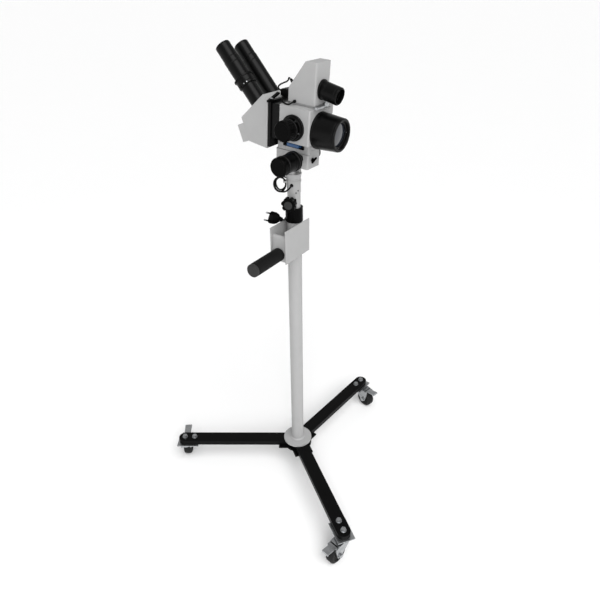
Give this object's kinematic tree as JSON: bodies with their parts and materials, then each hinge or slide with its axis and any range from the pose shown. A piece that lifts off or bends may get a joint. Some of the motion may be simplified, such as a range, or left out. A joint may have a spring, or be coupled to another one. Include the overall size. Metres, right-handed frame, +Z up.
{
  "type": "colposcope",
  "caption": "Binocular colposcope on a three-legged rolling stand, with a sliding neck, side handle and lamp.",
  "frame": {"origin": "on the floor under the column's axis", "axes": "+Z up, the objective looks along -Y, and the handle and the focusing knob point along -X"},
  "size_m": [0.6978, 0.7059, 1.284],
  "materials": {
    "white_enamel": "satin white enamel",
    "grey_enamel": "fine textured light grey enamel",
    "head_enamel": "light grey enamel over a cast housing",
    "black_enamel": "satin black enamel",
    "black_anodised": "satin black anodised",
    "zinc_plated": "bright zinc plate",
    "black_plastic": "moulded black plastic",
    "cap_plastic": "dark grey plastic",
    "grip_rubber": "black rubber grip",
    "cord_rubber": "black cord sheath",
    "wheel_tyre": "dark grey tread",
    "lens_glass": "coated lens",
    "filter_glass": "blue filter glass"
  },
  "bodies": {
    "stand": {"hub_disc": "white_enamel", "hub_lower_plate": "black_enamel", "leg_left": "black_enamel", "leg_front": "black_enamel", "leg_rear": "black_enamel", "caster_plates": "zinc_plated", "base_bolts": "zinc_plated", "column_tube": "white_enamel", "clamp_collar": "black_plastic", "bracket_plates": "grey_enamel", "bracket_web": "grey_enamel", "handle_grip": "grip_rubber", "handle_cap": "cap_plastic"},
    "clamp_screw": {"clamp_knob": "black_plastic", "clamp_stud": "zinc_plated"},
    "neck": {"neck_tube": "white_enamel", "neck_sleeve": "white_enamel", "cord_grommet": "black_plastic", "cord_hank": "cord_rubber", "cord_run": "cord_rubber", "cord_tie": "cord_rubber", "mains_plug": "black_plastic"},
    "turning_post": {"swivel_post": "white_enamel", "tilt_pin": "zinc_plated"},
    "focus_block": {"focus_base": "head_enamel"},
    "lock": {"lock_lever": "black_plastic"},
    "focus_drive": {"focus_shaft": "zinc_plated", "focus_knob": "black_plastic", "tension_knob": "black_plastic"},
    "optical_head": {"focus_slide": "head_enamel", "filter_frame": "black_anodised", "main_body": "head_enamel", "mag_flange": "black_anodised", "objective_barrel": "black_anodised", "front_lenses": "lens_glass", "interface_plate": "black_anodised", "prism_housing": "head_enamel", "prism_cover": "head_enamel", "lamp_housing": "head_enamel", "lamp_tube": "black_anodised", "lamp_connector": "black_plastic", "lamp_lead": "cord_rubber", "side_lead": "cord_rubber", "head_lock": "black_plastic"},
    "filter_slider": {"blue_filter": "filter_glass"},
    "magnification": {"mag_knob": "black_plastic"},
    "lamp_filter": {"filter_lever": "zinc_plated"},
    "near_eye": {"tube_near": "black_anodised"},
    "far_eye": {"tube_far": "black_anodised"},
    "diopter": {"diopter_ring": "black_anodised"},
    "caster_left": {"fork_left": "zinc_plated"},
    "roller_left": {"wheel_left": "wheel_tyre"},
    "pedal_left": {"brake_left": "zinc_plated"},
    "caster_front": {"fork_front": "zinc_plated"},
    "roller_front": {"wheel_front": "wheel_tyre"},
    "pedal_front": {"brake_front": "zinc_plated"},
    "caster_rear": {"fork_rear": "zinc_plated"},
    "roller_rear": {"wheel_rear": "wheel_tyre"},
    "pedal_rear": {"brake_rear": "zinc_plated"}
  },
  "joints": [
    {"name": "caster_left_swivel", "type": "hinge", "parent": "stand", "child": "caster_left", "pos_m": [-0.20698, 0.31271, 0.07], "axis": [0, 0, 1], "continuous": true},
    {"name": "wheel_left_spin", "type": "hinge", "parent": "caster_left", "child": "roller_left", "pos_m": [-0.18302, 0.33076, 0.031], "axis": [-0.6018, 0.7986, 0], "continuous": true},
    {"name": "brake_left_press", "type": "hinge", "parent": "caster_left", "child": "pedal_left", "pos_m": [-0.17423, 0.33738, 0.0667], "axis": [-0.6018, 0.7986, 0], "range_deg": [0, 15]},
    {"name": "caster_front_swivel", "type": "hinge", "parent": "stand", "child": "caster_front", "pos_m": [-0.22042, -0.30338, 0.07], "axis": [0, 0, 1], "continuous": true},
    {"name": "wheel_front_spin", "type": "hinge", "parent": "caster_front", "child": "roller_front", "pos_m": [-0.24996, -0.29817, 0.031], "axis": [-0.1736, -0.9848, 0], "continuous": true},
    {"name": "brake_front_press", "type": "hinge", "parent": "caster_front", "child": "pedal_front", "pos_m": [-0.2608, -0.29626, 0.0667], "axis": [-0.1736, -0.9848, 0], "range_deg": [0, 15]},
    {"name": "caster_rear_swivel", "type": "hinge", "parent": "stand", "child": "caster_rear", "pos_m": [0.37357, -0.03268, 0.07], "axis": [0, 0, 1], "continuous": true},
    {"name": "wheel_rear_spin", "type": "hinge", "parent": "caster_rear", "child": "roller_rear", "pos_m": [0.36581, -0.06166, 0.031], "axis": [0.9659, -0.2588, 0], "continuous": true},
    {"name": "brake_rear_press", "type": "hinge", "parent": "caster_rear", "child": "pedal_rear", "pos_m": [0.36296, -0.07229, 0.0667], "axis": [0.9659, -0.2588, 0], "range_deg": [0, 15]},
    {"name": "clamp_turn", "type": "hinge", "parent": "stand", "child": "clamp_screw", "pos_m": [-0.02884, -0.00827, 0.924], "axis": [-0.9613, -0.2756, 0], "range_deg": [0, 180]},
    {"name": "neck_lift", "type": "slide", "parent": "stand", "child": "neck", "axis": [0, 0, 1], "range_m": [0, 0.25]},
    {"name": "head_swivel", "type": "hinge", "parent": "neck", "child": "turning_post", "pos_m": [0, 0, 0.981], "axis": [0, 0, 1], "range_deg": [-170, 170]},
    {"name": "head_tilt", "type": "hinge", "parent": "turning_post", "child": "focus_block", "pos_m": [0, 0, 1.006], "axis": [1, 0, 0], "range_deg": [-20, 20]},
    {"name": "lock_turn", "type": "hinge", "parent": "focus_block", "child": "lock", "pos_m": [-0.008, -0.0611, 1.03649], "axis": [0, -0.9973, -0.0732], "range_deg": [0, 60]},
    {"name": "focus_travel", "type": "slide", "parent": "focus_block", "child": "optical_head", "axis": [0, -0.9973, -0.0732], "range_m": [-0.015, 0.015]},
    {"name": "focus_turn", "type": "hinge", "parent": "focus_block", "child": "focus_drive", "pos_m": [0, -0.03739, 1.04124], "axis": [-1, 0, 0], "range_deg": [-144, 144]},
    {"name": "filter_slide", "type": "slide", "parent": "optical_head", "child": "filter_slider", "axis": [-1, 0, 0], "range_m": [0, 0.022]},
    {"name": "magnification_turn", "type": "hinge", "parent": "optical_head", "child": "magnification", "pos_m": [-0.06, -0.03582, 1.11555], "axis": [-1, 0, 0], "continuous": true},
    {"name": "lamp_filter_swing", "type": "hinge", "parent": "optical_head", "child": "lamp_filter", "pos_m": [0.008, -0.08503, 1.15756], "axis": [0, -0.0732, 0.9973], "range_deg": [0, 35]},
    {"name": "near_eye_shift", "type": "slide", "parent": "optical_head", "child": "near_eye", "axis": [-1, 0, 0], "range_m": [-0.005, 0.005]},
    {"name": "far_eye_shift", "type": "slide", "parent": "optical_head", "child": "far_eye", "axis": [1, 0, 0], "range_m": [-0.005, 0.005]},
    {"name": "diopter_turn", "type": "hinge", "parent": "near_eye", "child": "diopter", "pos_m": [-0.031, 0.1059, 1.19425], "axis": [0, 0.6534, 0.757], "range_deg": [-120, 120]}
  ],
  "couplings": [
    {"joint": "focus_turn", "follows": "focus_travel", "rad_per_m": 166.67},
    {"joint": "near_eye_shift", "follows": "far_eye_shift", "ratio": 1}
  ]
}
